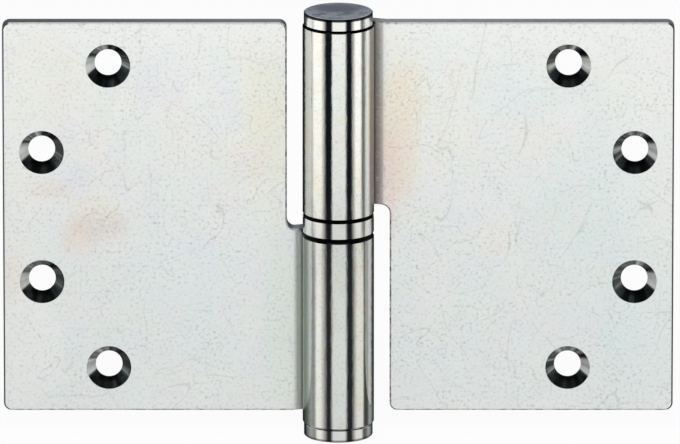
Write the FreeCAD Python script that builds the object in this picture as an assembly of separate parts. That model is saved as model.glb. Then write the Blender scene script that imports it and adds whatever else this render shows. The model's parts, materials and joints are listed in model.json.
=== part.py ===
import FreeCAD, Part
import math
import os

# Lift-off hinge with a ball bearing, opened flat, with the countersunk side towards -Y.
# The origin is on the pin's axis at the middle of the bearing, +Z runs up the pin and +X points
# to the door leaf. Lengths are in millimetres and angles in degrees.

# Leaves: two pieces of rolled sheet
LEAF_REACH = 75.0
LEAF_HEIGHT = 90.0
LEAF_RISE = 1.0
SHEET = 3.5
CLOSED_GAP = 2.5
CORNER_RADIUS = 1.75
EDGE_CHAMFER = 0.35

# Notch that clears the other leaf's knuckle
KNUCKLE_CLEARANCE = 3.5
NOTCH_OFFSET = 2.8
NOTCH_RADIUS = 1.9

# Set-back bend and rolled knuckle
BEND_DISTANCE = 2.8
BEND_INSIDE_RADIUS = 1.2
SEAM_GAP = 0.4
FACING_ALLOWANCE = 0.15
KNUCKLE_CHAMFER = 0.25

# Screw holes, in a staggered line of four
HOLE_DIAMETER = 6.0
COUNTERSINK_DIAMETER = 10.0
COUNTERSINK_ANGLE = 62.0
OUTER_HOLE_INSET = 8.7
INNER_HOLE_INSET = 23.6
OUTER_HOLE_SPACING = 30.0
INNER_HOLE_SPACING = 70.0

# Pin
PIN_DIAMETER = 9.0
PIN_RUNNING_CLEARANCE = 0.05
PIN_TIP_CLEARANCE = 3.4
PIN_LEAD = 2.0
PIN_TIP_CHAMFER = 1.2

# Caps
CAP_HEAD_INSET = 0.3
CAP_HEAD_HEIGHT = 3.0
CAP_EDGE_CHAMFER = 0.15
CAP_SEAT_CHAMFER = 0.4
CAP_SPIGOT_LENGTH = 5.0

# Ball bearing between the knuckles
BEARING_HEIGHT = 5.2
BALL_DIAMETER = 2.5
BALL_COUNT = 12
BALL_SIDES = 8
BALL_CLEARANCE = 0.04
RACE_LIP = 0.35
RACE_BORE_CLEARANCE = 0.1
CASING_LOWER_GAP = 0.95
CASING_UPPER_GAP = 0.7
CASING_INSET = 0.03
CASING_WALL = 0.2
CASING_CLEARANCE = 0.08

# Worked out from the sizes above
BORE_RADIUS = PIN_DIAMETER / 2
KNUCKLE_RADIUS = BORE_RADIUS + SHEET
LEAF_FRONT = CLOSED_GAP / 2
LEAF_BACK = LEAF_FRONT + SHEET
NOTCH_EDGE = KNUCKLE_RADIUS + KNUCKLE_CLEARANCE
KNUCKLE_INNER_END = BEARING_HEIGHT / 2
KNUCKLE_OUTER_END = LEAF_HEIGHT / 2 + LEAF_RISE
RUNNING_RADIUS = BORE_RADIUS - PIN_RUNNING_CLEARANCE
CASING_RADIUS = KNUCKLE_RADIUS - CASING_INSET
CASING_BORE = CASING_RADIUS - CASING_WALL
RACE_BORE = RUNNING_RADIUS + RACE_BORE_CLEARANCE
BALL_PITCH_RADIUS = (RACE_BORE + CASING_BORE) / 2
RACE_FACE = BALL_DIAMETER / 2 - RACE_LIP

TOUCHING = 1e-6
ORIGIN = FreeCAD.Vector(0, 0, 0)
Y_AXIS = FreeCAD.Vector(0, 1, 0)
Z_AXIS = FreeCAD.Vector(0, 0, 1)


def polar(radius, degrees, centre=ORIGIN):
    """A point in the XY plane, by its distance and direction from a centre."""
    angle = math.radians(degrees)
    return centre + FreeCAD.Vector(radius * math.cos(angle), radius * math.sin(angle), 0)


def arc(centre, radius, start, end):
    """An arc in the XY plane between two directions, either way round."""
    points = [polar(radius, angle, centre) for angle in (start, (start + end) / 2, end)]
    return Part.Arc(*points).toShape()


def line(start, end):
    """A straight edge."""
    return Part.LineSegment(start, end).toShape()


def revolved(outline):
    """A turned solid about the pin's axis, from (radius, height) corners."""
    corners = [FreeCAD.Vector(radius, 0, height) for radius, height in outline]
    face = Part.Face(Part.makePolygon(corners + corners[:1]))
    return face.revolve(ORIGIN, Z_AXIS, 360)


def turn_over(solid):
    """The same piece turned end for end, about the axis through the leaves' faces."""
    turned = solid.copy()
    turned.rotate(ORIGIN, Y_AXIS, 180)
    return turned


def set_back_angle(bend_x, sheet_middle, bend_radius, roll_radius):
    """The bend that makes the straight run behind the pin tangent to the roll."""
    reach = math.hypot(bend_x, sheet_middle + bend_radius)
    lean = math.degrees(math.atan2(sheet_middle + bend_radius, bend_x))
    return math.degrees(math.asin((roll_radius + bend_radius) / reach)) - lean


def rolled_section():
    """The sheet's section: flat leaf, set-back bend, straight run and roll round the pin."""
    middle = LEAF_FRONT + SHEET / 2
    bend_x = KNUCKLE_RADIUS + BEND_DISTANCE
    bend_radius = BEND_INSIDE_RADIUS + SHEET / 2
    roll_radius = BORE_RADIUS + SHEET / 2
    bend = set_back_angle(bend_x, middle, bend_radius, roll_radius)
    bend_centre = FreeCAD.Vector(-bend_x, middle + bend_radius, 0)
    seam = math.degrees(math.acos(BORE_RADIUS / KNUCKLE_RADIUS) + SEAM_GAP / KNUCKLE_RADIUS)
    run_direction = 90 + bend
    roll_end = run_direction + seam - 360

    def side(bend_side, roll_side, level):
        """One face of the sheet, from the leaf's outer edge to the end of the roll."""
        outer = FreeCAD.Vector(-LEAF_REACH, level, 0)
        bend_start = polar(bend_side, -90, bend_centre)
        bend_end = polar(bend_side, -90 + bend, bend_centre)
        roll_start = polar(roll_side, run_direction)
        edges = [line(outer, bend_start), arc(bend_centre, bend_side, -90, -90 + bend)]
        edges.append(line(bend_end, roll_start))
        edges.append(arc(ORIGIN, roll_side, run_direction, roll_end))
        return edges

    front = side(bend_radius + SHEET / 2, BORE_RADIUS, LEAF_FRONT)
    back = side(bend_radius - SHEET / 2, KNUCKLE_RADIUS, LEAF_BACK)
    outer_edge = line(FreeCAD.Vector(-LEAF_REACH, LEAF_FRONT, 0), FreeCAD.Vector(-LEAF_REACH, LEAF_BACK, 0))
    roll_edge = line(polar(BORE_RADIUS, roll_end), polar(KNUCKLE_RADIUS, roll_end))
    wire = Part.Wire(Part.__sortEdges__(front + back + [outer_edge, roll_edge]))
    return Part.Face(wire)


def punched_outline(rise):
    """The leaf's outline from the front, as a block through the sheet, with its notch."""
    low = rise - LEAF_HEIGHT / 2
    high = rise + LEAF_HEIGHT / 2
    notch = rise - NOTCH_OFFSET
    depth = 4 * KNUCKLE_RADIUS
    corners = [(-LEAF_REACH, low), (0, low), (0, notch), (-NOTCH_EDGE, notch)]
    corners += [(-NOTCH_EDGE, high), (-LEAF_REACH, high)]
    points = [FreeCAD.Vector(x, -depth / 2, z) for x, z in corners]
    block = Part.Face(Part.makePolygon(points + points[:1])).extrude(Y_AXIS * depth)
    radii = {(-LEAF_REACH, low): CORNER_RADIUS, (-LEAF_REACH, high): CORNER_RADIUS}
    radii.update({(-NOTCH_EDGE, high): CORNER_RADIUS, (-NOTCH_EDGE, notch): NOTCH_RADIUS})
    for (x, z), radius in radii.items():
        middle = FreeCAD.Vector(x, 0, z)
        edges = [edge for edge in block.Edges if edge.CenterOfMass.distanceToPoint(middle) < TOUCHING]
        block = block.makeFillet(radius, edges)
    return block


def knuckle_zone():
    """The turned space that the faced and chamfered lower knuckle fills."""
    radius = KNUCKLE_RADIUS + FACING_ALLOWANCE
    end_radius = KNUCKLE_RADIUS - KNUCKLE_CHAMFER
    slope = radius - end_radius
    outline = [(0, -KNUCKLE_OUTER_END), (end_radius, -KNUCKLE_OUTER_END)]
    outline += [(radius, slope - KNUCKLE_OUTER_END), (radius, -slope - KNUCKLE_INNER_END)]
    outline += [(end_radius, -KNUCKLE_INNER_END), (0, -KNUCKLE_INNER_END)]
    return revolved(outline)


def front_outline_edges(leaf):
    """The edges of the flat leaf's front face, without the bend line."""
    edges = []
    for edge in leaf.Edges:
        box = edge.BoundBox
        on_front = abs(box.YMin - LEAF_FRONT) + abs(box.YMax - LEAF_FRONT) < TOUCHING
        on_bend = box.XMin > -(KNUCKLE_RADIUS + BEND_DISTANCE) - TOUCHING
        if on_front and not on_bend:
            edges.append(edge)
    return edges


def screw_hole(x, z):
    """A countersunk hole from the leaf's front face."""
    front = FreeCAD.Vector(x, LEAF_FRONT, z)
    slope = math.tan(math.radians(COUNTERSINK_ANGLE / 2))
    cone_depth = COUNTERSINK_DIAMETER / 2 / slope
    through = Part.makeCylinder(HOLE_DIAMETER / 2, SHEET, front, Y_AXIS)
    return through.fuse(Part.makeCone(COUNTERSINK_DIAMETER / 2, 0, cone_depth, front, Y_AXIS))


def hole_places(rise):
    """The four screw holes' places on the frame leaf."""
    pairs = [(OUTER_HOLE_INSET, OUTER_HOLE_SPACING), (INNER_HOLE_INSET, INNER_HOLE_SPACING)]
    return [(inset - LEAF_REACH, rise + way * gap / 2) for inset, gap in pairs for way in (-1, 1)]


def leaf(rise):
    """A leaf with its knuckle in the lower half, its middle raised by the given amount."""
    length = 2 * KNUCKLE_OUTER_END
    sheet = rolled_section().extrude(Z_AXIS * length)
    sheet.translate(Z_AXIS * -KNUCKLE_OUTER_END)
    around_pin = Part.makeCylinder(KNUCKLE_RADIUS + FACING_ALLOWANCE, length, Z_AXIS * -KNUCKLE_OUTER_END)
    flat = sheet.common(punched_outline(rise)).cut(around_pin)
    solid = flat.fuse(sheet.common(knuckle_zone())).removeSplitter()
    solid = solid.makeChamfer(EDGE_CHAMFER, front_outline_edges(solid))
    for x, z in hole_places(rise):
        solid = solid.cut(screw_hole(x, z))
    return solid


def hinge_pin():
    """The pin: pressed into the lower knuckle, with a running end for the upper one."""
    foot = CAP_SPIGOT_LENGTH - KNUCKLE_OUTER_END
    tip = KNUCKLE_OUTER_END - CAP_SPIGOT_LENGTH - PIN_TIP_CLEARANCE
    outline = [(0, foot), (BORE_RADIUS, foot), (BORE_RADIUS, -KNUCKLE_INNER_END)]
    outline += [(RUNNING_RADIUS, -KNUCKLE_INNER_END), (RUNNING_RADIUS, tip - PIN_LEAD)]
    outline += [(RUNNING_RADIUS - PIN_TIP_CHAMFER, tip), (0, tip)]
    return revolved(outline)


def bottom_cap():
    """A plug with a chamfered head that closes the lower knuckle."""
    head = KNUCKLE_RADIUS - CAP_HEAD_INSET
    seat = -KNUCKLE_OUTER_END
    end = seat - CAP_HEAD_HEIGHT
    outline = [(0, end), (head - CAP_EDGE_CHAMFER, end), (head, end + CAP_EDGE_CHAMFER)]
    outline += [(head, seat - CAP_SEAT_CHAMFER), (head - CAP_SEAT_CHAMFER, seat)]
    outline += [(BORE_RADIUS, seat), (BORE_RADIUS, seat + CAP_SPIGOT_LENGTH), (0, seat + CAP_SPIGOT_LENGTH)]
    return revolved(outline)


def race(outer_radius):
    """The lower race: a ring with a right-angled groove that the balls run in."""
    foot = -KNUCKLE_INNER_END
    groove_depth = (BALL_DIAMETER / 2 + BALL_CLEARANCE) * math.sqrt(2)
    groove_half = groove_depth - RACE_FACE
    outline = [(RACE_BORE, foot), (outer_radius, foot), (outer_radius, -RACE_FACE)]
    outline += [(BALL_PITCH_RADIUS + groove_half, -RACE_FACE), (BALL_PITCH_RADIUS, -groove_depth)]
    outline += [(BALL_PITCH_RADIUS - groove_half, -RACE_FACE), (RACE_BORE, -RACE_FACE)]
    return revolved(outline)


def bearing_casing():
    """The ring that shows between the knuckles, pressed over the lower race."""
    low = CASING_LOWER_GAP - KNUCKLE_INNER_END
    high = KNUCKLE_INNER_END - CASING_UPPER_GAP
    outline = [(CASING_BORE, low), (CASING_RADIUS, low), (CASING_RADIUS, high), (CASING_BORE, high)]
    return revolved(outline)


def ball_ring(row):
    """One level ring of a ball's corners, counted from the bottom."""
    step = 360 / BALL_SIDES
    level = polar(BALL_DIAMETER / 2, (row + 0.5) * step - 90)
    return [polar(level.x, side * step) + Z_AXIS * level.y for side in range(BALL_SIDES)]


def bearing_ball(number):
    """One ball of the bearing, cut with flat sides so that its faces stay few."""
    rings = [ball_ring(row) for row in range(BALL_SIDES // 2)]
    outlines = [rings[0], rings[-1]]
    for low, high in zip(rings, rings[1:]):
        outlines += [[low[side - 1], low[side], high[side], high[side - 1]] for side in range(BALL_SIDES)]
    faces = [Part.Face(Part.makePolygon(corners + corners[:1])) for corners in outlines]
    ball = Part.Solid(Part.Shell(faces))
    ball.translate(polar(BALL_PITCH_RADIUS, number * 360 / BALL_COUNT))
    return ball


def hinge_pieces():
    """Every piece of the hinge, by its name."""
    pieces = {
        "frame_leaf": leaf(LEAF_RISE),
        "door_leaf": turn_over(leaf(-LEAF_RISE)),
        "hinge_pin": hinge_pin(),
        "bottom_cap": bottom_cap(),
        "top_cap": turn_over(bottom_cap()),
        "bearing_casing": bearing_casing(),
        "lower_race": race(CASING_BORE),
        "upper_race": turn_over(race(CASING_BORE - CASING_CLEARANCE)),
    }
    for number in range(BALL_COUNT):
        pieces[f"bearing_ball_{number + 1:02d}"] = bearing_ball(number)
    return pieces


os.makedirs("parts", exist_ok=True)
for name, piece in hinge_pieces().items():
    piece.exportStep(f"parts/{name}.step")
    print(f"{name}: {len(piece.Solids)} solid, {piece.Volume:.1f} mm3, valid {piece.isValid()}")
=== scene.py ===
"""Dresses the lift-off hinge: plated leaves, turned caps, ground pin and ball bearing."""

import json
import logging
import math
from dataclasses import dataclass
from enum import Enum
from typing import Any, Optional, Union

import bmesh
import bpy
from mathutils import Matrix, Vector

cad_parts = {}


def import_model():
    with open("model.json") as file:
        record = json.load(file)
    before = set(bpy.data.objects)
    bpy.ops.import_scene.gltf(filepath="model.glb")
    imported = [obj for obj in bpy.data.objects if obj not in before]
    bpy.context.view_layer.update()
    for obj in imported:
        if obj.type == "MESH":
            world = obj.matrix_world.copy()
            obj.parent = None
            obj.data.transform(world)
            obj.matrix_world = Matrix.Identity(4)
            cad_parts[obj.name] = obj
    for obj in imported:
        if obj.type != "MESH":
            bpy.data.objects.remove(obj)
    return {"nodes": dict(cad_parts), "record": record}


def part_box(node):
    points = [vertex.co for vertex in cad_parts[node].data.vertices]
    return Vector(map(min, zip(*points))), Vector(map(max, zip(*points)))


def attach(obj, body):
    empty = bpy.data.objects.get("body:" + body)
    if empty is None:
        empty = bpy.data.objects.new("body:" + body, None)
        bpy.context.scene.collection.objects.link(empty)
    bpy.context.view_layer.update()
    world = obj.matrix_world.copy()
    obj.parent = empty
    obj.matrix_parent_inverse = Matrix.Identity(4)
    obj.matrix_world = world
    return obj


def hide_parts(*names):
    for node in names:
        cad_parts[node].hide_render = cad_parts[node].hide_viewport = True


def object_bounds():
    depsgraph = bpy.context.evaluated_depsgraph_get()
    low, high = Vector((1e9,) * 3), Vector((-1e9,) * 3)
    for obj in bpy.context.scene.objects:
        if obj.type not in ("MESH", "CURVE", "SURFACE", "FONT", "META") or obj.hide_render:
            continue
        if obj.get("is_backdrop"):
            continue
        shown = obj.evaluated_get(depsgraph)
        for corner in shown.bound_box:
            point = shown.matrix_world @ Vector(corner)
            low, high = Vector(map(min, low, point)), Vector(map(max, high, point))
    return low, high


LOG = logging.getLogger("hinge")
MM = 0.001
HALF = 0.5
FULL_TURN = 360.0
# The mean of a noise, and the detail of an uneven and of a ragged one.
MIDDLE = 0.5
FAIR_DETAIL = 3.0
RICH_DETAIL = 4.0

Colour = tuple[float, float, float]
Point = tuple[float, float, float]
Span = tuple[float, float]
UNIT: Point = (1.0, 1.0, 1.0)
Value = Union[float, tuple[float, ...], "Field"]
Stops = list[tuple[float, Colour]]


class Slot(Enum):
    """The record's material slots."""

    LEAF = "leaf_zinc"
    TURNED = "turned_zinc"
    PIN = "pin_steel"
    BEARING = "bearing_steel"


class Mixing(Enum):
    """The ways in which two colours are mixed."""

    PLAIN = "MIX"
    MULTIPLY = "MULTIPLY"
    LINEAR_LIGHT = "LINEAR_LIGHT"


class Field:
    """One output of a shader graph, with the arithmetic that its values need."""

    def __init__(self, graph: "Graph", socket: bpy.types.NodeSocket) -> None:
        """Keeps the socket and the graph that new nodes go to."""
        self.graph = graph
        self.socket = socket

    def math(self, operation: str, *values: Value) -> "Field":
        """Adds a Math node.

        Args:
            operation: The Math node's operation.
            values: The node's values in order, this field among them.

        Returns:
            The node's result.
        """
        return self.graph.node("ShaderNodeMath", {"operation": operation}, dict(enumerate(values)))

    def __add__(self, other: Value) -> "Field":
        """The sum with another value."""
        return self.math("ADD", self, other)

    __radd__ = __add__

    def __sub__(self, other: Value) -> "Field":
        """The difference from another value."""
        return self.math("SUBTRACT", self, other)

    def __rsub__(self, other: Value) -> "Field":
        """Another value less this one."""
        return self.math("SUBTRACT", other, self)

    def __mul__(self, other: Value) -> "Field":
        """The product with another value."""
        return self.math("MULTIPLY", self, other)

    __rmul__ = __mul__

    def __truediv__(self, other: Value) -> "Field":
        """This value over another."""
        return self.math("DIVIDE", self, other)

    def __rtruediv__(self, other: Value) -> "Field":
        """Another value over this one."""
        return self.math("DIVIDE", other, self)

    def __abs__(self) -> "Field":
        """The value without its sign."""
        return self.math("ABSOLUTE", self)

    def root(self) -> "Field":
        """The square root."""
        return self.math("SQRT", self)

    def least(self, other: Value) -> "Field":
        """The smaller of two values."""
        return self.math("MINIMUM", self, other)

    def most(self, other: Value) -> "Field":
        """The larger of two values."""
        return self.math("MAXIMUM", self, other)

    def rise(self, start: float, end: float) -> "Field":
        """A soft step.

        Args:
            start: The value at which the result is 0.
            end: The value at which the result is 1, below start for a fall.

        Returns:
            The step, from 0 to 1.
        """
        settings = {"interpolation_type": "SMOOTHSTEP"}
        sockets = {"Value": self, "From Min": start, "From Max": end}
        return self.graph.node("ShaderNodeMapRange", settings, sockets)

    def sibling(self, name: str) -> "Field":
        """Another output of the same node."""
        return Field(self.graph, self.socket.node.outputs[name])


class Graph:
    """The node tree of a material or of the world."""

    def __init__(self, tree: bpy.types.NodeTree) -> None:
        """Starts an empty graph in the tree."""
        self.tree = tree
        self.tree.nodes.clear()

    def node(
        self,
        kind: str,
        settings: Optional[dict[str, Any]] = None,
        sockets: Optional[dict[Union[str, int], Any]] = None,
        output: str = "",
    ) -> Field:
        """Adds a node.

        Args:
            kind: The node's type.
            settings: The node's own settings, and a ramp's stops.
            sockets: Values or fields for the node's inputs, by name or place.
            output: The output that is wanted, the first in use if empty.

        Returns:
            The wanted output.
        """
        made = self.tree.nodes.new(kind)
        for name, setting in (settings or {}).items():
            if name == "stops":
                self.set_stops(made.color_ramp, setting)
            else:
                setattr(made, name, setting)
        for key, value in (sockets or {}).items():
            self.feed(self.find(made.inputs, key), value)
        outputs = [socket for socket in made.outputs if socket.enabled]
        return Field(self, self.find(made.outputs, output) if output else outputs[0])

    @staticmethod
    def find(sockets: Any, key: Union[str, int]) -> bpy.types.NodeSocket:
        """Looks a socket up.

        Args:
            sockets: A node's inputs or outputs.
            key: The socket's place or its name.

        Returns:
            The socket at the place, or the first one in use with the name.
        """
        if isinstance(key, int):
            return sockets[key]
        return next(socket for socket in sockets if socket.enabled and socket.name == key)

    @staticmethod
    def set_stops(ramp: bpy.types.ColorRamp, stops: Any) -> None:
        """Gives a ramp its stops.

        Args:
            ramp: The ramp of a node.
            stops: Pairs of a place, from 0 to 1, and a colour.
        """
        while len(ramp.elements) < len(stops):
            ramp.elements.new(1.0)
        for element, (place, colour) in zip(ramp.elements, stops):
            element.position = place
            element.color = (*colour, 1.0)

    def feed(self, socket: bpy.types.NodeSocket, value: Value) -> None:
        """Links a field to an input, or sets the input's own value.

        Args:
            socket: The input.
            value: The field, or a number, colour or vector.
        """
        if isinstance(value, Field):
            self.tree.links.new(value.socket, socket)
        elif socket.type == "RGBA":
            socket.default_value = (*value, 1.0)
        else:
            socket.default_value = value

    def blend(self, first: Value, second: Value, share: Value, mode: Mixing = Mixing.PLAIN) -> Field:
        """Mixes two colours.

        Args:
            first: The colour at a share of 0.
            second: The colour at a share of 1.
            share: How much of the second colour there is.
            mode: The way of mixing.

        Returns:
            The mixed colour.
        """
        settings = {"data_type": "RGBA", "blend_type": mode.value, "clamp_result": True}
        return self.node("ShaderNodeMix", settings, {"Factor": share, "A": first, "B": second})

    def noise(self, point: Field, scale: float, detail: float = 2.0) -> Field:
        """Cloudy noise from 0 to 1 about a point in millimetres."""
        return self.node("ShaderNodeTexNoise", None, {"Vector": point, "Scale": scale, "Detail": detail})

    def bands(self, place: Field, scale: float, detail: float = 2.0) -> Field:
        """Noise along one measure, from 0 to 1."""
        sockets = {"W": place, "Scale": scale, "Detail": detail}
        return self.node("ShaderNodeTexNoise", {"noise_dimensions": "1D"}, sockets)

    def point(self, x: Value, y: Value, z: Value) -> Field:
        """A point from its three measures."""
        return self.node("ShaderNodeCombineXYZ", None, {0: x, 1: y, 2: z})

    def laid(self, point: Field, turn: float, size: Point, shift: float = 0.0) -> Field:
        """A point measured in a turned grid.

        Args:
            point: The point to measure.
            turn: The grid's turn about the third axis, in degrees.
            size: The grid's steps along its own axes.
            shift: How far the grid is moved along the first two axes.

        Returns:
            The point in steps of the grid.
        """
        place = {"Location": (shift, shift, 0.0), "Rotation": (0.0, 0.0, math.radians(turn)), "Scale": size}
        return self.node("ShaderNodeMapping", {"vector_type": "TEXTURE"}, {"Vector": point, **place})

    def warped(self, point: Field, scale: float, reach: float, detail: float = 2.0) -> Field:
        """A point pushed about by noise.

        Args:
            point: The point to push.
            scale: The noise's scale.
            reach: Twice the furthest push, about.
            detail: The noise's detail.

        Returns:
            The pushed point.
        """
        sockets = {"Vector": point, "Scale": scale, "Detail": detail}
        colour = self.node("ShaderNodeTexNoise", None, sockets, "Color")
        push = self.node("ShaderNodeVectorMath", {"operation": "SCALE"}, {0: colour, "Scale": reach})
        return self.node("ShaderNodeVectorMath", {"operation": "ADD"}, {0: point, 1: push})

    def bump(self, height: Field) -> Field:
        """A normal from a height in millimetres."""
        return self.node("ShaderNodeBump", None, {"Strength": 1.0, "Distance": MM, "Height": height})

    def metal(self, colour: Value, roughness: Value, normal: Field, metallic: Value = 1.0) -> None:
        """Ends a material's graph with a metal surface.

        Args:
            colour: The metal's colour.
            roughness: How blurred its reflections are.
            normal: The normal with its bumps.
            metallic: How much of the surface is bare metal.
        """
        sockets = {"Base Color": colour, "Roughness": roughness, "Metallic": metallic, "Normal": normal}
        shader = self.node("ShaderNodeBsdfPrincipled", None, sockets)
        self.close(shader)

    def close(self, shader: Field, kind: str = "ShaderNodeOutputMaterial") -> None:
        """Links a shader to the graph's output."""
        made = self.tree.nodes.new(kind)
        self.feed(self.find(made.inputs, "Surface"), shader)


class Surface:
    """The measures of a point on a piece, in millimetres, and how its face lies."""

    def __init__(self, graph: Graph) -> None:
        """Adds the nodes that measure the point.

        Args:
            graph: The graph that the nodes go to.
        """
        place = graph.node("ShaderNodeTexCoord", None, None, "Object")
        scaled = {0: place, "Scale": 1.0 / MM}
        self.point = graph.node("ShaderNodeVectorMath", {"operation": "SCALE"}, scaled)
        self.x = graph.node("ShaderNodeSeparateXYZ", None, {0: self.point})
        self.y = self.x.sibling("Y")
        self.z = self.x.sibling("Z")
        self.radius = (self.x * self.x + self.y * self.y).root()
        normal = graph.node("ShaderNodeSeparateXYZ", None, {0: place.sibling("Normal")})
        self.facing = abs(normal.sibling("Y"))
        self.upright = abs(normal.sibling("Z"))


def new_material(name: str) -> tuple[bpy.types.Material, Graph]:
    """Makes a material of nodes.

    Args:
        name: The material's name.

    Returns:
        The material and its empty graph.
    """
    material = bpy.data.materials.new(name)
    material.use_nodes = True
    return material, Graph(material.node_tree)


def strongest(masks: list[Field]) -> Field:
    """Joins masks.

    Args:
        masks: The masks, at least one.

    Returns:
        The largest of them at each point.
    """
    largest = masks[0]
    for mask in masks[1:]:
        largest = largest.most(mask)
    return largest


@dataclass(frozen=True)
class Patches:
    """Noise that is cut to soft patches."""

    scale: float
    detail: float
    span: Span
    share: float

    def mask(self, graph: Graph, point: Field) -> Field:
        """The patches about a point, as a mask at their own strength."""
        return graph.noise(point, self.scale, self.detail).rise(*self.span) * self.share


@dataclass(frozen=True)
class Bloom:
    """A soft stain in the passivated zinc, at a place on the leaves in millimetres."""

    x: float
    z: float
    reach_x: float
    reach_z: float
    colour: Colour
    strength: float
    spread: float = 1.45
    fray: float = 0.9

    def laid(self, graph: Graph, surface: Surface, colour: Value, ragged: Field) -> Field:
        """Mixes the stain into a colour.

        Args:
            graph: The material's graph.
            surface: The measured surface.
            colour: The colour under the stain.
            ragged: Noise that breaks the stain's edge.

        Returns:
            The stained colour.
        """
        across = (surface.x - self.x) / (self.reach_x * self.spread)
        along = (surface.z - self.z) / (self.reach_z * self.spread)
        mask = (across * across + along * along + (ragged - MIDDLE) * self.fray).rise(1.0, 0.0)
        return graph.blend(colour, self.colour, mask * mask * self.strength)


@dataclass(frozen=True)
class Stroke:
    """One family of short scratches that lie the same way."""

    turn: float
    length: float
    width: float
    shift: float
    share: Span = (0.765, 0.84)
    bend_scale: float = 0.09
    bend_reach: float = 9.0
    cluster_scale: float = 0.12
    cluster: Span = (0.53, 0.68)

    def mask(self, graph: Graph, sheet: Field) -> Field:
        """Lays the scratches in loose clusters.

        Args:
            graph: The material's graph.
            sheet: A point on the flattened sheet.

        Returns:
            The scratches as a mask.
        """
        bent = graph.warped(sheet, self.bend_scale, self.bend_reach)
        grid = graph.laid(bent, self.turn, (self.length, self.width, self.length), self.shift)
        clusters = graph.noise(graph.laid(sheet, self.turn, UNIT, self.shift), self.cluster_scale)
        return graph.noise(grid, 1.0, 0.0).rise(*self.share) * clusters.rise(*self.cluster)


@dataclass(frozen=True)
class Curl:
    """One family of long curved hairlines, which follow the level lines of slow noise."""

    turn: float
    scale: float
    width: float
    shift: float
    detail: float = 1.0
    stretch: Point = (3.2, 1.0, 1.0)
    cluster_scale: float = 0.24
    cluster: Span = (0.47, 0.62)

    def mask(self, graph: Graph, sheet: Field) -> Field:
        """Lays the hairlines, broken into pieces.

        Args:
            graph: The material's graph.
            sheet: A point on the flattened sheet.

        Returns:
            The hairlines as a mask.
        """
        place = graph.laid(sheet, self.turn, self.stretch, self.shift)
        off_level = abs(graph.noise(place, self.scale, self.detail) - MIDDLE)
        pieces = graph.noise(place, self.cluster_scale).rise(*self.cluster)
        return off_level.rise(self.width, 0.0) * pieces


@dataclass(frozen=True)
class Mottle:
    """A fine uneven grain, strong in some patches of the sheet and faint in others."""

    scale: float = 1.5
    detail: float = 4.0
    patch_scale: float = 0.09
    patch: Span = (0.42, 0.64)
    faint: float = 0.75

    def level(self, graph: Graph, sheet: Field) -> Field:
        """Lays the grain.

        Args:
            graph: The material's graph.
            sheet: A point on the flattened sheet.

        Returns:
            The grain's height, above or below 0.
        """
        patches = graph.noise(sheet, self.patch_scale).rise(*self.patch)
        grain = graph.noise(sheet, self.scale, self.detail) - MIDDLE
        return grain * (self.faint + (1.0 - self.faint) * patches)


@dataclass(frozen=True)
class SunkLook:
    """The painted shade and painted highlights that the countersinks give to a sheet's finish, with their
    turned rings.
    """

    mask: Field
    colour: Field
    glint: Field
    rings: Field


@dataclass(frozen=True)
class Countersink:
    """The turned seats of the screw heads, coloured with painted light: painted shade, spokes of painted
    reflection, a painted glint and a black foot of painted shade.

    A span is the pair of values between which a mask rises. The edge and the reach are in millimetres.
    """

    # The seat's painted shade and its painted reflection.
    dark: Colour = (0.07, 0.08, 0.085)
    light: Colour = (0.95, 0.955, 0.93)
    edge: Span = (5.2, 4.9)
    reach: Span = (5.7, 5.5)
    facing: Span = (0.95, 0.85)
    spokes: Span = (0.40, 0.80)
    spoke_scale: float = 1.6
    glint: Span = (0.84, 0.96)
    glint_least: float = 0.35
    # The seat's lower part, below the foot, is painted in shade.
    foot: Span = (-0.50, -0.36)
    foot_light: float = 0.1
    ring_scale: float = 3.0

    def look(self, graph: Graph, surface: Surface, holes: list[Span], side: float) -> SunkLook:
        """Measures a point from the nearest screw hole's axis and paints the seat's shade and highlights.

        Args:
            graph: The material's graph.
            surface: The measured surface.
            holes: The holes' places, across and up, in millimetres.
            side: The side on which the leaf's outer edge lies, -1 or 1.

        Returns:
            The seats' mask, their colour of painted shade and painted reflection, their painted glint and
            their turned rings.
        """
        nearest = surface.radius
        across = up = turn = surface.x * 0.0
        for number, (x, z) in enumerate(holes):
            own_across = surface.x - x
            own_up = surface.z - z
            distance = (own_across * own_across + own_up * own_up).root()
            near = distance.rise(*self.reach)
            nearest = nearest.least(distance)
            across = across + own_across * near
            up = up + own_up * near
            turn = turn + near * (number * math.tau)
        # Radial spokes of painted reflection round the turned seat.
        spoke = graph.bands(turn + across.math("ARCTAN2", across, up), self.spoke_scale, RICH_DETAIL)
        above_foot = (up / nearest).rise(*self.foot)
        outward = across * side / nearest
        # A painted highlight on the seat's outward side; below the foot the seat is painted in shade.
        glint = outward.rise(*self.glint) * (self.glint_least + spoke) * above_foot
        light = self.foot_light + (1.0 - self.foot_light) * above_foot
        lit = spoke.rise(*self.spokes).most(glint) * light
        return SunkLook(
            mask=nearest.rise(*self.edge) * surface.facing.rise(*self.facing),
            colour=graph.blend(self.dark, self.light, lit),
            glint=glint,
            rings=graph.bands(nearest, self.ring_scale, FAIR_DETAIL),
        )


@dataclass(frozen=True)
class SheetGloss:
    """The sheet's roughness on the leaf and on the knuckle, and how much marks change it."""

    leaf: float = 0.22
    knuckle: float = 0.085
    cloud: float = 0.08
    grain: float = 0.08
    streak: float = 0.06
    cut: float = 0.12
    sunk: float = 0.06
    lines: float = 0.25


@dataclass(frozen=True)
class SheetRelief:
    """The heights of the sheet's fine relief, in millimetres."""

    grain: float = 0.012
    streak: float = 0.003
    drawn: float = 0.018
    turned: float = 0.010
    cut: float = 0.05


@dataclass(frozen=True)
class SheetFace:
    """What is measured once on a sheet and used in several of its values."""

    sheet: Field
    aside: Field
    rolled: Field
    flat: Field
    cut: Field
    chamfer: Field
    crease: Field
    cloud: Field
    wear_and_painted_light: Field
    grain: Field


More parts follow.
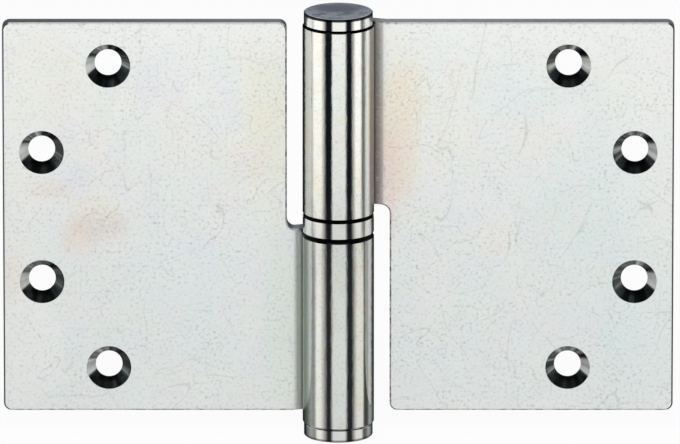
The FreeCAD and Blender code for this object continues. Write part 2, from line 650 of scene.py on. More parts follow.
@dataclass(frozen=True)
class PlatedSheet:
    """Rolled steel sheet, zinc plated and passivated: satin leaves and a bright knuckle.

    A span is the pair of values between which a mask rises. Spans of places are in millimetres, and the
    crease and the flanks are measured towards the leaf's outer edge, which lies on the given side.
    """

    side: float
    crease_shade_share: float
    zinc: Colour = (0.94, 0.955, 0.945)
    warm: Colour = (0.95, 0.94, 0.90)
    cool: Colour = (0.89, 0.945, 0.965)
    rosy: Colour = (0.96, 0.925, 0.945)
    pale: Colour = (0.99, 0.99, 0.98)
    knuckle_tint: Colour = (0.89, 0.89, 0.885)
    knuckle_warm: Colour = (0.87, 0.82, 0.76)
    # Painted shade in the crease where the leaf meets its knuckle.
    crease: Colour = (0.40, 0.37, 0.34)
    # Painted shade on the knuckle's flank that faces the other leaf.
    flank_shade: Colour = (0.74, 0.75, 0.74)
    mark: Colour = (0.30, 0.31, 0.31)
    sheared: Colour = (0.52, 0.54, 0.55)
    # Painted shade along the edge chamfers.
    edge_shade: Colour = (0.10, 0.105, 0.11)
    # Painted shade on the knuckle's ends, in the gaps beside the caps and the bearing.
    gap_shade: Colour = (0.03, 0.033, 0.038)
    satin_share: float = 0.5
    knuckle_radius: float = 8.0
    knuckle_reach: Span = (8.7, 8.3)
    crease_inside: Span = (5.8, 7.2)
    crease_outside: Span = (10.6, 7.8)
    flank_inside: Span = (-5.5, -6.0)
    flank_outside: Span = (-9.0, -8.5)
    cut_facing: Span = (0.55, 0.45)
    chamfer_from: Span = (0.62, 0.66)
    chamfer_to: Span = (0.82, 0.78)
    end_upright: Span = (0.60, 0.66)
    # Below this height the ends get no painted shade.
    unshaded_foot: Span = (-44.6, -43.8)
    # Where the painted edge shade lies on the chamfers, and the noise that breaks it.
    outer_edge: Span = (73.4, 73.9)
    inner_edge: Span = (13.6, 12.8)
    inner_break: Span = (0.44, 0.60)
    inner_share: float = 0.8
    foot_edge: Span = (-43.2, -43.6)
    foot_break: Span = (0.46, 0.60)
    foot_least: float = 0.2
    foot_share: float = 0.5
    cut_worn: Span = (0.50, 0.66)
    cut_share: float = 0.2
    cloud_scale: float = 0.06
    ragged_scale: float = 0.24
    wear_and_painted_light_scale: float = 0.6
    drift: Span = (0.35, 0.65)
    drift_share: float = 0.5
    cool_foot: Span = (10.0, -35.0)
    cool_share: float = 0.5
    blotch_scale: float = 0.16
    blotch_share: float = 0.055
    # A painted highlight along the top of the leaves; lighter towards the foot and the outer edges.
    painted_sheen_top: Span = (34.0, 46.0)
    painted_sheen_top_share: float = 0.75
    pale_foot: Span = (-26.0, -44.0)
    pale_foot_share: float = 0.2
    pale_side: Span = (58.0, 72.0)
    pale_side_share: float = 0.5
    dark_grain: Span = (0.0, 0.24)
    dark_grain_share: float = 0.42
    dark_grain_loss: float = 0.12
    pale_grain: Span = (0.0, -0.26)
    pale_grain_share: float = 0.7
    hairline_share: float = 0.25
    hairline_loss: float = 0.7
    scratch_share: float = 0.30
    scratch_loss: float = 0.8
    streak_grid: Point = (0.45, 33.0, 1.0)
    drawn_grid: Point = (1.2, 4.0, 1.0)
    rosy_patches: Patches = Patches(0.045, FAIR_DETAIL, (0.48, 0.66), 0.4)
    handled: Patches = Patches(0.3, RICH_DETAIL, (0.46, 0.68), 0.7)
    grain: Mottle = Mottle()
    gloss: SheetGloss = SheetGloss()
    relief: SheetRelief = SheetRelief()
    countersink: Countersink = Countersink()
    blooms: tuple[Bloom, ...] = (
        Bloom(-53.5, -0.6, 6.5, 4.2, (0.86, 0.79, 0.77), 0.85),
        Bloom(-58.5, -3.5, 4.5, 5.0, (0.93, 0.82, 0.74), 0.6),
        Bloom(-54.0, 3.2, 6.5, 3.0, (0.94, 0.92, 0.80), 0.6),
        Bloom(-64.7, 7.4, 5.5, 2.4, (0.92, 0.82, 0.79), 0.85),
        Bloom(-73.0, -12.8, 3.2, 6.0, (0.95, 0.82, 0.70), 0.8),
        Bloom(-66.0, 36.0, 9.0, 12.0, (0.95, 0.93, 0.86), 0.6),
        Bloom(-70.0, -30.0, 9.0, 15.0, (0.98, 1.0, 1.0), 0.9),
        Bloom(-15.0, 25.0, 6.5, 15.0, (0.95, 0.92, 0.77), 0.7),
        Bloom(-20.0, 14.0, 6.0, 5.0, (0.95, 0.89, 0.84), 0.5),
        Bloom(-58.0, 10.5, 5.0, 4.0, (0.88, 0.88, 0.95), 0.6),
        Bloom(-40.5, 32.0, 6.0, 7.0, (0.90, 0.90, 0.97), 0.6),
        Bloom(-33.0, -12.0, 14.0, 9.0, (0.88, 0.95, 0.99), 0.6),
        Bloom(-12.5, -22.0, 5.0, 24.0, (0.86, 0.93, 0.88), 0.8),
        Bloom(10.6, 13.0, 3.2, 17.0, (0.90, 0.79, 0.82), 0.9),
        Bloom(13.4, 19.0, 4.6, 18.0, (0.96, 0.80, 0.67), 0.75),
        Bloom(14.6, 30.0, 5.0, 14.0, (0.96, 0.90, 0.76), 0.6),
        Bloom(11.5, 41.0, 3.5, 6.0, (0.97, 0.91, 0.86), 0.7),
        Bloom(38.5, 29.0, 8.0, 8.0, (0.86, 0.94, 0.97), 0.6),
        Bloom(57.0, 2.0, 16.0, 16.0, (0.82, 0.94, 0.95), 0.5),
        Bloom(69.0, -24.0, 10.0, 20.0, (0.82, 0.96, 0.97), 0.7),
    )
    strokes: tuple[Stroke, ...] = (
        Stroke(24.0, 1.5, 0.24, 0.0),
        Stroke(-38.0, 1.3, 0.22, 37.0),
        Stroke(81.0, 1.6, 0.22, 83.0),
    )
    curls: tuple[Curl, ...] = (
        Curl(12.0, 0.10, 0.0055, 0.0),
        Curl(-48.0, 0.12, 0.0060, 59.0),
        Curl(75.0, 0.08, 0.0050, 113.0),
        Curl(38.0, 0.14, 0.0065, 171.0),
    )

    def material(self, holes: list[Span]) -> bpy.types.Material:
        """Builds the finish.

        Args:
            holes: The screw holes' places, across and up, in millimetres.

        Returns:
            The material.
        """
        material, graph = new_material(Slot.LEAF.value)
        surface = Surface(graph)
        face = self.measured(graph, surface)
        sunk = self.countersink.look(graph, surface, holes, self.side)
        streak = graph.noise(graph.laid(face.sheet, 0.0, self.streak_grid), 1.0, FAIR_DETAIL)
        colour = graph.blend(self.marked(graph, surface, face), sunk.colour, sunk.mask)
        normal = graph.bump(self.height(graph, face, sunk, streak))
        satin = self.satin_share * (1.0 - sunk.mask) + sunk.glint.least(1.0) * sunk.mask
        graph.metal(colour, self.roughness(face, sunk, streak), normal, 1.0 - face.flat * satin)
        return material

    def measured(self, graph: Graph, surface: Surface) -> SheetFace:
        """Measures a point on the sheet.

        Args:
            graph: The material's graph.
            surface: The measured surface.

        Returns:
            The point on the flattened sheet, and the masks and noises about it.
        """
        rolled = surface.radius.rise(*self.knuckle_reach)
        flat = 1.0 - rolled
        turn = surface.x.math("ARCTAN2", surface.x, 0.0 - surface.y) * self.knuckle_radius
        along = surface.x + (turn - surface.x) * rolled
        sheet = graph.point(along, surface.z, surface.y * flat)
        aside = surface.x * self.side
        return SheetFace(
            sheet=sheet,
            aside=aside,
            rolled=rolled,
            flat=flat,
            cut=surface.facing.rise(*self.cut_facing) * flat,
            chamfer=surface.facing.rise(*self.chamfer_from) * surface.facing.rise(*self.chamfer_to) * flat,
            crease=aside.rise(*self.crease_inside) * aside.rise(*self.crease_outside) * self.crease_shade_share,
            cloud=graph.noise(surface.point, self.cloud_scale, RICH_DETAIL),
            wear_and_painted_light=graph.noise(surface.point, self.wear_and_painted_light_scale, RICH_DETAIL),
            grain=self.grain.level(graph, sheet),
        )

    def marked(self, graph: Graph, surface: Surface, face: SheetFace) -> Field:
        """The sheet's colour with its marks and edges, and with painted shade in the crease, on the
        knuckle's flank that faces the other leaf, along the edge chamfers and on the knuckle's ends.

        Args:
            graph: The material's graph.
            surface: The measured surface.
            face: What was measured on the sheet.

        Returns:
            The colour, without the countersinks.
        """
        rolled = face.rolled
        colour = self.stained(graph, surface, face.cloud)
        tint = graph.blend(self.knuckle_tint, self.knuckle_warm, self.handled.mask(graph, face.sheet))
        colour = graph.blend(colour, tint, rolled, Mixing.MULTIPLY)
        # Painted shade on the knuckle's flank that faces the other leaf.
        far = face.aside.rise(*self.flank_inside) * face.aside.rise(*self.flank_outside) * rolled
        colour = graph.blend(colour, self.flank_shade, far, Mixing.MULTIPLY)
        # Painted shade in the crease.
        colour = graph.blend(colour, self.crease, face.crease, Mixing.MULTIPLY)
        dark_share = self.dark_grain_share - self.dark_grain_loss * rolled
        colour = graph.blend(colour, self.mark, face.grain.rise(*self.dark_grain) * dark_share)
        pale_grain = face.grain.rise(*self.pale_grain) * self.pale_grain_share * face.flat
        colour = graph.blend(colour, self.pale, pale_grain)
        hairlines = strongest([curl.mask(graph, face.sheet) for curl in self.curls])
        hairlines = hairlines * (1.0 - self.hairline_loss * rolled)
        colour = graph.blend(colour, self.mark, hairlines * self.hairline_share)
        scratches = strongest([stroke.mask(graph, face.sheet) for stroke in self.strokes])
        scratches = scratches * (1.0 - self.scratch_loss * rolled)
        colour = graph.blend(colour, self.mark, scratches * self.scratch_share)
        colour = graph.blend(colour, self.sheared, face.cut)
        # Painted shade along the edge chamfers.
        colour = graph.blend(colour, self.edge_shade, self.outline(surface, face))
        # Painted shade on the knuckle's ends, in the gaps beside the caps and the bearing.
        ends = surface.upright.rise(*self.end_upright) * rolled * surface.z.rise(*self.unshaded_foot)
        return graph.blend(colour, self.gap_shade, ends)

    def stained(self, graph: Graph, surface: Surface, cloud: Field) -> Field:
        """The passivated zinc's colour, with its slow drift, its stains, a painted highlight along the top,
        and lighter towards the foot and the outer edges.

        Args:
            graph: The material's graph.
            surface: The measured surface.
            cloud: The slow noise that the drift follows.

        Returns:
            The colour.
        """
        ragged = (cloud + graph.noise(surface.point, self.ragged_scale, RICH_DETAIL)) * HALF
        drift = graph.blend(self.warm, self.cool, cloud.rise(*self.drift))
        colour = graph.blend(self.zinc, drift, self.drift_share)
        colour = graph.blend(colour, self.rosy, self.rosy_patches.mask(graph, surface.point))
        colour = graph.blend(colour, self.cool, surface.z.rise(*self.cool_foot) * self.cool_share)
        for bloom in self.blooms:
            colour = bloom.laid(graph, surface, colour, ragged)
        blotches = {"Vector": surface.point, "Scale": self.blotch_scale, "Detail": RICH_DETAIL}
        blotch = graph.node("ShaderNodeTexNoise", None, blotches, "Color")
        colour = graph.blend(colour, blotch, self.blotch_share, Mixing.LINEAR_LIGHT)
        # A painted highlight along the top; lighter towards the foot and the outer edges.
        pale = surface.z.rise(*self.painted_sheen_top) * self.painted_sheen_top_share
        pale = pale + surface.z.rise(*self.pale_foot) * self.pale_foot_share
        pale = pale.most(abs(surface.x).rise(*self.pale_side) * self.pale_side_share)
        return graph.blend(colour, self.pale, pale)

    def outline(self, surface: Surface, face: SheetFace) -> Field:
        """The painted shade lines along the leaf's edge chamfers, broken by noise, and dark wear specks on
        the cut faces.

        Args:
            surface: The measured surface.
            face: What was measured on the sheet.

        Returns:
            The lines as a mask.
        """
        edges = abs(surface.x).rise(*self.outer_edge)
        inner = abs(surface.x).rise(*self.inner_edge) * face.wear_and_painted_light.rise(*self.inner_break)
        edges = edges.most(inner * self.inner_share)
        foot_shade = self.foot_least + face.wear_and_painted_light.rise(*self.foot_break) * self.foot_share
        edges = edges.most(surface.z.rise(*self.foot_edge) * foot_shade)
        return (face.chamfer * edges).most(face.cut * face.wear_and_painted_light.rise(*self.cut_worn) * self.cut_share)

    def roughness(self, face: SheetFace, sunk: SunkLook, streak: Field) -> Field:
        """The sheet's roughness.

        Args:
            face: What was measured on the sheet.
            sunk: The countersinks' look.
            streak: The noise of the drawing streaks.

        Returns:
            The roughness.
        """
        gloss = self.gloss
        satin = gloss.leaf + (face.cloud - MIDDLE) * gloss.cloud + face.grain * gloss.grain
        bright = gloss.knuckle + (streak - MIDDLE) * gloss.streak
        roughness = satin + (bright - satin) * face.rolled + face.cut * gloss.cut - sunk.mask * gloss.sunk
        return roughness + (face.chamfer + face.crease) * gloss.lines

    def height(self, graph: Graph, face: SheetFace, sunk: SunkLook, streak: Field) -> Field:
        """The height of the sheet's fine relief.

        Args:
            graph: The material's graph.
            face: What was measured on the sheet.
            sunk: The countersinks' look.
            streak: The noise of the drawing streaks.

        Returns:
            The height in millimetres.
        """
        relief = self.relief
        drawn = graph.noise(graph.laid(face.sheet, 0.0, self.drawn_grid), 1.0)
        height = face.grain * relief.grain * face.flat + streak * relief.streak
        height = height + drawn * relief.drawn * face.rolled
        return height + sunk.mask * sunk.rings * relief.turned + face.cut * face.wear_and_painted_light * relief.cut


@dataclass(frozen=True)
class TurnedSteel:
    """Steel turned on a lathe, with fine rings on its ends and round its sides."""

    slot: Slot
    colour: Colour
    dull: Colour
    roughness: float
    ring_height: float
    ring_scale: float = 2.6
    ring_gloss: float = 0.06
    cloud_scale: float = 0.35
    cloud_gloss: float = 0.06
    dulled: Span = (0.40, 0.75)
    dull_share: float = 0.5
    flecks: Patches = Patches(3.2, 2.0, (0.60, 0.80), 0.5)

    def material(self) -> bpy.types.Material:
        """Builds the finish.

        Returns:
            The material.
        """
        material, graph = new_material(self.slot.value)
        surface = Surface(graph)
        rings = graph.bands(surface.radius + surface.z, self.ring_scale, RICH_DETAIL)
        cloud = graph.noise(surface.point, self.cloud_scale, RICH_DETAIL)
        colour = graph.blend(self.colour, self.dull, cloud.rise(*self.dulled) * self.dull_share)
        colour = graph.blend(colour, self.dull, self.flecks.mask(graph, surface.point))
        colour = self.wear_and_painted_light(graph, surface, colour, cloud)
        roughness = self.roughness + (rings - MIDDLE) * self.ring_gloss
        roughness = roughness + (cloud - MIDDLE) * self.cloud_gloss
        relief = self.relief(surface, (rings + cloud) * self.ring_height)
        graph.metal(colour, roughness, graph.bump(relief))
        return material

    def relief(self, surface: Surface, height: Field) -> Field:
        """The surface's height, which plain turned steel has from its rings alone."""
        return height

    def wear_and_painted_light(self, graph: Graph, surface: Surface, colour: Field, cloud: Field) -> Field:
        """The colour with its wear and painted light, of which plain turned steel has none."""
        return colour


@dataclass(frozen=True)
class PlatedTurning(TurnedSteel):
    """Turned steel under zinc, with mottled ends, a painted reflection spot on the ends, a painted
    highlight on the rim line and painted shade on the edges.

    Spans of radii and heights are in millimetres.
    """

    end: Colour = (0.78, 0.78, 0.80)
    end_dark: Colour = (0.20, 0.20, 0.22)
    rim: Colour = (1.0, 1.0, 1.0)
    edge_shade: Colour = (0.03, 0.033, 0.038)
    mottle_scale: float = 1.3
    mottled: Span = (0.42, 0.66)
    # A darker painted reflection spot behind the middle of the ends.
    reflection_spot_y: float = 2.6
    reflection_spot_reach: Span = (6.5, 4.2)
    reflection_spot_edge: Span = (1.1, 0.2)
    reflection_spot_share: float = 0.9
    # The rim line: a raised ring with a painted highlight, broken by noise.
    rim_inside: Span = (7.05, 7.25)
    rim_outside: Span = (7.50, 7.30)
    rim_break: Span = (0.35, 0.60)
    rim_height: float = 0.03
    end_upright: Span = (0.88, 0.94)
    # Painted shade on the seat chamfer, the top edge and the bottom cap's foot edge.
    seat_upright: Span = (0.55, 0.62)
    edge_upright: Span = (0.84, 0.80)
    edge_height: Span = (48.35, 48.5)
    unshaded_foot: Span = (-46.5, -45.5)
    foot_height: Span = (-48.3, -48.6)
    foot_share: float = 0.7

    def rim_line(self, surface: Surface) -> Field:
        """The raised line near the rim of the ends, as a mask."""
        return surface.radius.rise(*self.rim_inside) * surface.radius.rise(*self.rim_outside)

    def relief(self, surface: Surface, height: Field) -> Field:
        """The surface's height, with the raised line near the rim."""
        return height + self.rim_line(surface) * self.rim_height

    def wear_and_painted_light(self, graph: Graph, surface: Surface, colour: Field, cloud: Field) -> Field:
        """The colour with its mottling and its painted light.

        Args:
            graph: The material's graph.
            surface: The measured surface.
            colour: The colour of the turned sides.
            cloud: The noise that the mottling follows.

        Returns:
            The worn colour.
        """
        mottle = graph.noise(surface.point, self.mottle_scale, RICH_DETAIL)
        face = graph.blend(self.end, self.end_dark, (cloud * HALF + mottle * HALF).rise(*self.mottled))
        # A darker painted reflection spot behind the middle of the ends.
        across = surface.x / self.reflection_spot_reach[0]
        along = (surface.y - self.reflection_spot_y) / self.reflection_spot_reach[1]
        reflection_spot = (across * across + along * along + (mottle - MIDDLE)).rise(*self.reflection_spot_edge)
        face = graph.blend(face, self.end_dark, reflection_spot * self.reflection_spot_share)
        # A painted highlight on the rim line.
        face = graph.blend(face, self.rim, self.rim_line(surface) * mottle.rise(*self.rim_break))
        colour = graph.blend(colour, face, surface.upright.rise(*self.end_upright))
        # Painted shade on the seat chamfer and the top edge, and on the bottom cap's foot edge.
        slanted = surface.upright.rise(*self.edge_upright)
        seat = surface.upright.rise(*self.seat_upright) * slanted
        edge = surface.z.rise(*self.edge_height) * slanted
        dark = seat.most(edge) * surface.z.rise(*self.unshaded_foot)
        foot = surface.z.rise(*self.foot_height) * self.foot_share
        return graph.blend(colour, self.edge_shade, dark.most(foot))


@dataclass(frozen=True)
class GreasedSteel:
    """Hardened bearing steel under a film of dark grease, made near black so that it also paints the shade
    in the gaps beside the bearing.
    """

    steel: Colour = (0.66, 0.67, 0.68)
    grease_and_gap_shade: Colour = (0.005, 0.005, 0.005)
    wiped_radius: float = 6.4
    greased_radius: float = 7.0
    smear_scale: float = 0.9
    smear_reach: float = 0.8
    steel_roughness: float = 0.16
    film_roughness: float = 0.5
    smear_gloss: float = 0.06
    ring_scale: float = 3.0
    ring_height: float = 0.002
    smear_height: float = 0.004

    def material(self) -> bpy.types.Material:
        """Builds the finish.

        Returns:
            The material.
        """
        material, graph = new_material(Slot.BEARING.value)
        surface = Surface(graph)
        smear = graph.noise(surface.point, self.smear_scale, FAIR_DETAIL)
        reach = surface.radius + (smear - MIDDLE) * self.smear_reach
        # A near-black grease film on the races' outer part, which also paints the shade in the gaps.
        film = reach.rise(self.wiped_radius, self.greased_radius)
        colour = graph.blend(self.steel, self.grease_and_gap_shade, film)
        roughness = self.steel_roughness + film * self.film_roughness + (smear - MIDDLE) * self.smear_gloss
        rings = graph.bands(surface.radius + surface.z, self.ring_scale)
        height = rings * self.ring_height + smear * self.smear_height
        graph.metal(colour, roughness, graph.bump(height))
        return material


@dataclass(frozen=True)
class Leaf:
    """A leaf of the hinge with its rolled knuckle."""

    node: str
    finish: PlatedSheet

    def dress(self, nodes: dict[str, bpy.types.Object], holes: list[Span]) -> None:
        """Gives the leaf its finish."""
        put_finish(nodes[self.node], self.finish.material(holes), Slot.LEAF)


@dataclass(frozen=True)
class TurnedPieces:
    """Turned pieces that share one finish."""

    names: tuple[str, ...]
    finish: TurnedSteel

    def dress(self, nodes: dict[str, bpy.types.Object]) -> None:
        """Gives the pieces their finish.

        Args:
            nodes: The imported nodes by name.
        """
        material = self.finish.material()
        for name in self.names:
            put_finish(nodes[name], material, self.finish.slot)


@dataclass(frozen=True)
class BallRing:
    """The bearing's races and its ring of round balls."""

    races: tuple[str, ...]
    ball_prefix: str
    finish: GreasedSteel
    body: str = "ball_ring"
    subdivisions: int = 3

    def build(self, nodes: dict[str, bpy.types.Object]) -> list[bpy.types.Object]:
        """Makes a round ball in the place of each flat-sided one.

        Args:
            nodes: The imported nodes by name.

        Returns:
            The balls.
        """
        balls = []
        for name in sorted(node for node in nodes if node.startswith(self.ball_prefix)):
            low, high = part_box(name)
            centre = (low + high) / 2.0
            place = nodes[name].matrix_world
            radius = max((place @ corner.co - centre).length for corner in nodes[name].data.vertices)
            mesh = bmesh.new()
            bmesh.ops.create_icosphere(mesh, subdivisions=self.subdivisions, radius=radius)
            bmesh.ops.translate(mesh, verts=mesh.verts, vec=centre)
            ball = mesh_object(f"round_{name}", mesh, smooth=True)
            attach(ball, self.body)
            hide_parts(name)
            balls.append(ball)
        return balls

    def dress(self, nodes: dict[str, bpy.types.Object], balls: list[bpy.types.Object]) -> None:
        """Gives the races and the balls their finish.

        Args:
            nodes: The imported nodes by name.
            balls: The round balls.
        """
        material = self.finish.material()
        for piece in [nodes[name] for name in self.races] + balls:
            put_finish(piece, material, Slot.BEARING)


@dataclass(frozen=True)
class LightTent:
    """The bright strips and dark gaps round the hinge, which only mirrored rays meet.

    Lengths are in metres, and each of the levels is a height with its brightness.
    """

    back: Colour = (0.62, 0.635, 0.635)
    black: Colour = (0.004, 0.006, 0.009)
    gloom: Colour = (0.13, 0.135, 0.13)
    green: Colour = (0.315, 0.335, 0.315)
    line: Colour = (0.12, 0.125, 0.11)
    haze: Colour = (0.26, 0.265, 0.25)
    soot: Colour = (0.02, 0.022, 0.024)
    cream: Colour = (0.85, 0.84, 0.785)
    ivory: Colour = (0.76, 0.745, 0.68)
    front: Colour = (0.70, 0.715, 0.69)
    over: Colour = (0.29, 0.315, 0.36)
    radius: float = 0.45
    low: float = -0.50
    high: float = 0.36
    sides: int = 96
    strength: float = 1.5
    middle: Span = (-0.131, -0.122)
    foot_level: float = 0.66
    levels: tuple[Span, ...] = (
        (-0.20, 0.69),
        (-0.15, 0.76),
        (-0.134, 0.71),
        (-0.127, 0.62),
        (-0.12, 0.78),
        (-0.10, 0.89),
        (-0.062, 0.97),
        (0.0, 1.0),
        (0.06, 0.9),
    )
    over_from: float = 0.126

    def build(self) -> None:
        """Makes the tent's wall."""
        mesh = bmesh.new()
        bmesh.ops.create_circle(mesh, segments=self.sides, radius=self.radius)
        bmesh.ops.translate(mesh, verts=mesh.verts, vec=(0.0, 0.0, self.low))
        wall = bmesh.ops.extrude_edge_only(mesh, edges=mesh.edges[:])
        raised = [part for part in wall["geom"] if isinstance(part, bmesh.types.BMVert)]
        bmesh.ops.translate(mesh, verts=raised, vec=(0.0, 0.0, self.high - self.low))
        put_on_stage(mesh_object("light_tent", mesh), self.cloth())

    def cloth(self) -> bpy.types.Material:
        """The tent's glow: strips by direction, fading with height.

        Returns:
            The material.
        """
        material, graph = new_material("tent_cloth")
        surface = Surface(graph)
        height = surface.z * MM
        turn = surface.x.math("ARCTAN2", surface.x, 0.0 - surface.y) / math.tau + HALF
        below = graph.node("ShaderNodeValToRGB", {"stops": self.strips_below()}, {0: turn})
        above = graph.node("ShaderNodeValToRGB", {"stops": self.strips_above()}, {0: turn})
        strips = graph.blend(below, above, height.rise(*self.middle))
        level = (height - self.low) / (self.high - self.low)
        fade = graph.node("ShaderNodeValToRGB", {"stops": self.fade()}, {0: level})
        glow = graph.blend(strips, fade, 1.0, Mixing.MULTIPLY)
        graph.close(graph.node("ShaderNodeEmission", None, {"Color": glow, "Strength": self.strength}))
        return material

    def strips_above(self) -> Stops:
        """The strips that the upper knuckle mirrors.

        Returns:
            A ramp's stops by direction, from behind on the left, past the front, to behind on the right.
        """
        left = [(-180.0, self.back), (-176.0, self.back), (-171.0, self.black), (-146.0, self.black)]
        left += [(-132.0, self.green), (-98.0, self.green), (-84.0, self.cream), (-57.0, self.cream)]
        front = [(-40.0, self.black), (-22.5, self.black), (-17.0, self.front), (21.0, self.front)]
        right = [(28.0, self.black), (42.0, self.black), (58.0, self.cream), (75.0, self.cream)]
        right += [(84.5, self.line), (87.0, self.line), (101.0, self.green), (117.0, self.green)]
        right += [(136.0, self.gloom), (155.0, self.black), (171.0, self.black), (176.0, self.back)]
        return by_direction(left + front + right)

    def strips_below(self) -> Stops:
        """The strips that the lower knuckle mirrors.

        Returns:
            A ramp's stops by direction, in the same order.
        """
        left = [(-180.0, self.back), (-176.0, self.back), (-171.0, self.black), (-146.0, self.black)]
        left += [(-128.0, self.gloom), (-108.0, self.green), (-98.0, self.green), (-91.0, self.haze)]
        left += [(-84.0, self.haze), (-74.0, self.cream), (-60.0, self.cream)]
        front = [(-36.0, self.soot), (-25.0, self.soot), (-16.0, self.front), (22.0, self.front)]
        right = [(31.0, self.soot), (45.0, self.soot), (63.0, self.ivory), (85.0, self.ivory)]
        right += [(93.0, self.line), (106.0, self.line), (118.0, self.green), (126.0, self.green)]
        right += [(142.0, self.gloom), (155.0, self.black), (171.0, self.black), (176.0, self.back)]
        return by_direction(left + front + right)

    def fade(self) -> Stops:
        """The brightness by height.

        Returns:
            A ramp's stops, from the tent's foot to its rim.
        """
        heights = [(self.low, self.foot_level), *self.levels]
        stops = [(height, (level, level, level)) for height, level in heights]
        stops += [(self.over_from, self.over), (self.high, self.over)]
        return [((height - self.low) / (self.high - self.low), colour) for height, colour in stops]


def by_direction(strips: Stops) -> Stops:
    """A ramp's stops from directions in degrees, with the front in the ramp's middle."""
    return [(direction / FULL_TURN + HALF, colour) for direction, colour in strips]


@dataclass(frozen=True)
class Card:
    """A glowing card that only mirrored rays meet, with its lengths in metres."""

    name: str
    towards: Point
    size: float
    colour: Colour
    distance: float = 0.6

    def build(self) -> None:
        """Makes the card, turned to the hinge."""
        towards = Vector(self.towards).normalized()
        mesh = bmesh.new()
        bmesh.ops.create_grid(mesh, x_segments=1, y_segments=1, size=self.size / 2.0)
        turned = towards.to_track_quat("Z", "Y").to_matrix()
        bmesh.ops.rotate(mesh, verts=mesh.verts, cent=(0.0, 0.0, 0.0), matrix=turned)
        bmesh.ops.translate(mesh, verts=mesh.verts, vec=towards * self.distance)
        material, graph = new_material(self.name)
        graph.close(graph.node("ShaderNodeEmission", None, {"Color": self.colour}))
        put_on_stage(mesh_object(self.name, mesh), material)


@dataclass(frozen=True)
class Studio:
    """A pale floor, one soft lamp, a white background and the tent that bright metal mirrors."""

    tent: LightTent = LightTent()
    cards: tuple[Card, ...] = (
        Card("back_card", (0.40, 0.62, -0.67), 0.32, (0.50, 0.52, 0.52)),
        Card("under_card", (0.0, 0.27, -0.96), 0.50, (0.75, 0.76, 0.75)),
        Card("over_card", (0.0, -0.27, 0.96), 0.50, (0.40, 0.41, 0.42)),
    )
    floor_size: float = 4.0
    floor_colour: Colour = (0.93, 0.93, 0.93)
    floor_glow: float = 0.95
    white: Colour = (1.0, 1.0, 1.0)
    dark: Colour = (0.012, 0.013, 0.015)
    ambient: Colour = (0.27, 0.27, 0.27)
    lamp_place: Point = (0.0, -0.5, 0.6)
    lamp_size: float = 0.8
    lamp_watts: float = 4.4

    def build(self, floor_level: float) -> None:
        """Makes the whole studio.

        Args:
            floor_level: The height of the floor, in metres.
        """
        self.floor(floor_level)
        self.tent.build()
        for card in self.cards:
            card.build()
        self.lamp()
        self.background()

    def floor(self, level: float) -> None:
        """Makes the floor, which keeps a faint shadow.

        Args:
            level: The floor's height, in metres.
        """
        mesh = bmesh.new()
        bmesh.ops.create_grid(mesh, x_segments=1, y_segments=1, size=self.floor_size / 2.0)
        bmesh.ops.translate(mesh, verts=mesh.verts, vec=(0.0, 0.0, level))
        floor = mesh_object("floor", mesh)
        floor.visible_glossy = False
        floor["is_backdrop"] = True
        material, graph = new_material("floor")
        paper = graph.node("ShaderNodeBsdfDiffuse", None, {"Color": self.floor_colour})
        glow = graph.node("ShaderNodeEmission", None, {"Color": self.white})
        seen = graph.node("ShaderNodeLightPath", None, None, "Is Camera Ray")
        graph.close(graph.node("ShaderNodeMixShader", None, {0: seen * self.floor_glow, 1: paper, 2: glow}))
        floor.data.materials.append(material)

    def lamp(self) -> None:
        """Makes the soft lamp, turned to the hinge."""
        light = bpy.data.lights.new("soft_lamp", "AREA")
        light.size = self.lamp_size
        light.energy = self.lamp_watts
        lamp = bpy.data.objects.new("soft_lamp", light)
        lamp.location = self.lamp_place
        lamp.rotation_euler = Vector(self.lamp_place).to_track_quat("Z", "Y").to_euler()
        lamp.visible_glossy = False
        bpy.context.scene.collection.objects.link(lamp)

    def background(self) -> None:
        """Sets the world: white to the camera, dark to mirrored rays and dim to the rest."""
        world = bpy.data.worlds.new("studio")
        world.use_nodes = True
        bpy.context.scene.world = world
        graph = Graph(world.node_tree)
        seen = graph.node("ShaderNodeLightPath", None, None, "Is Camera Ray")
        colour = graph.blend(self.ambient, self.white, seen)
        colour = graph.blend(colour, self.dark, seen.sibling("Is Glossy Ray"))
        graph.close(graph.node("ShaderNodeBackground", None, {"Color": colour}), "ShaderNodeOutputWorld")


@dataclass(frozen=True)
class Viewpoint:
    """The camera: far off with a long lens, a little above the hinge, and aimed in millimetres."""

    elevation: float = 15.7
    lens: float = 900.0
    sensor: float = 36.0
    frame_width: float = 680.0
    pixels_per_mm: float = 4.473
    aim_right: float = 0.38
    aim_up: float = 0.22
    clip_factor: float = 3.0

    def build(self) -> None:
        """Makes the camera and hands it to the scene."""
        tilt = math.radians(self.elevation)
        back = Vector((0.0, -math.cos(tilt), math.sin(tilt)))
        up = Vector((0.0, math.sin(tilt), math.cos(tilt)))
        target = Vector((self.aim_right, 0.0, 0.0)) + up * self.aim_up
        distance = self.lens / self.sensor * self.frame_width / self.pixels_per_mm
        data = bpy.data.cameras.new("camera")
        data.lens = self.lens
        data.sensor_width = self.sensor
        data.clip_end = self.clip_factor * distance * MM
        camera = bpy.data.objects.new("camera", data)
        camera.location = (target + back * distance) * MM
        camera.rotation_euler = (-back).to_track_quat("-Z", "Y").to_euler()
        bpy.context.scene.collection.objects.link(camera)
        bpy.context.scene.camera = camera


def mesh_object(name: str, mesh: bmesh.types.BMesh, smooth: bool = False) -> bpy.types.Object:
    """Makes a linked object of a mesh.

    Args:
        name: The object's name.
        mesh: The mesh, which is freed.
        smooth: Whether its faces are shaded as one round surface.

    Returns:
        The object, at the origin.
    """
    for face in mesh.faces:
        face.smooth = smooth
    data = bpy.data.meshes.new(name)
    mesh.to_mesh(data)
    mesh.free()
    made = bpy.data.objects.new(name, data)
    bpy.context.scene.collection.objects.link(made)
    return made


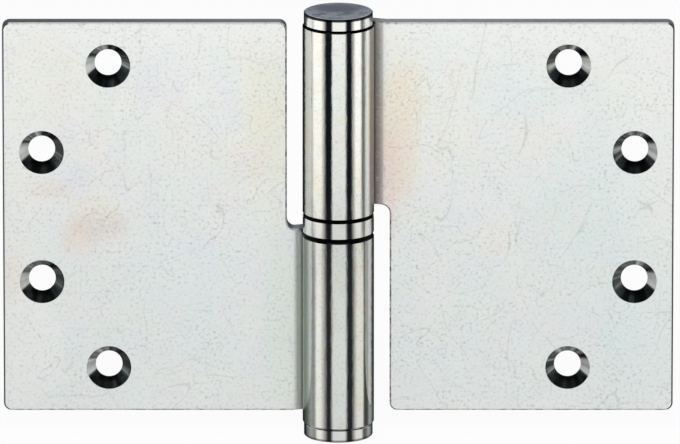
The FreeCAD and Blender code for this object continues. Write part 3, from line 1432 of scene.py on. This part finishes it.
def put_on_stage(card: bpy.types.Object, material: bpy.types.Material) -> None:
    """Gives a card its glow and lets only mirrored rays meet it.

    Args:
        card: The card or the tent.
        material: Its glow.
    """
    card.visible_camera = False
    card.visible_diffuse = False
    card.visible_shadow = False
    card.data.materials.append(material)
    card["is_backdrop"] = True


def put_finish(piece: bpy.types.Object, material: bpy.types.Material, slot: Slot) -> None:
    """Gives a piece its only material and reports it.

    Args:
        piece: The piece.
        material: The finish.
        slot: The record's slot that the finish stands for.
    """
    piece.data.materials.clear()
    piece.data.materials.append(material)
    LOG.info("%s: %s, %d faces", piece.name, slot.value, len(piece.data.polygons))


def screw_holes(record: dict[str, Any]) -> list[Span]:
    """The screw holes' places.

    Args:
        record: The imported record, whose mounts give the holes.

    Returns:
        The place of each hole across and up, in millimetres.
    """
    places = []
    for mount in record["mounts"]:
        if mount["kind"] == "bolt_pattern":
            half = mount["dims"]["spacing_y_mm"] / 2.0
            x, _, z = (measure / MM for measure in mount["pos_m"])
            places += [(x, z - half), (x, z + half)]
    return places


def main() -> None:
    """Builds and dresses the hinge in its studio."""
    logging.basicConfig(level=logging.INFO, format="%(message)s")
    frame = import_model()
    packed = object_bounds()
    nodes = frame["nodes"]
    bpy.context.scene.view_settings.view_transform = "Standard"

    holes = screw_holes(frame["record"])
    # The frame leaf has deeper painted shade in its crease and on its knuckle's flank.
    frame_sheet = PlatedSheet(
        side=-1.0,
        crease_shade_share=0.85,
        crease=(0.27, 0.33, 0.26),
        crease_outside=(9.4, 7.4),
        flank_shade=(0.48, 0.49, 0.48),
        flank_outside=(-7.0, -6.5),
        sheared=(0.32, 0.345, 0.355),
    )
    door_sheet = PlatedSheet(side=1.0, crease_shade_share=0.9, crease_inside=(6.6, 7.2))
    for leaf in (Leaf("frame_leaf", frame_sheet), Leaf("door_leaf", door_sheet)):
        leaf.dress(nodes, [place for place in holes if place[0] * leaf.finish.side > 0.0])
    turned = PlatedTurning(
        slot=Slot.TURNED,
        colour=(0.86, 0.87, 0.86),
        dull=(0.66, 0.67, 0.67),
        roughness=0.075,
        ring_height=0.002,
    )
    TurnedPieces(("bottom_cap", "top_cap", "bearing_casing"), turned).dress(nodes)
    ground = TurnedSteel(
        slot=Slot.PIN,
        colour=(0.60, 0.60, 0.60),
        dull=(0.40, 0.39, 0.37),
        roughness=0.18,
        ring_height=0.002,
    )
    TurnedPieces(("hinge_pin",), ground).dress(nodes)
    bearing = BallRing(("lower_race", "upper_race"), "bearing_ball_", GreasedSteel())
    bearing.dress(nodes, bearing.build(nodes))

    Studio().build(packed[0].z)
    Viewpoint().build()


if __name__ == "__main__":
    main()
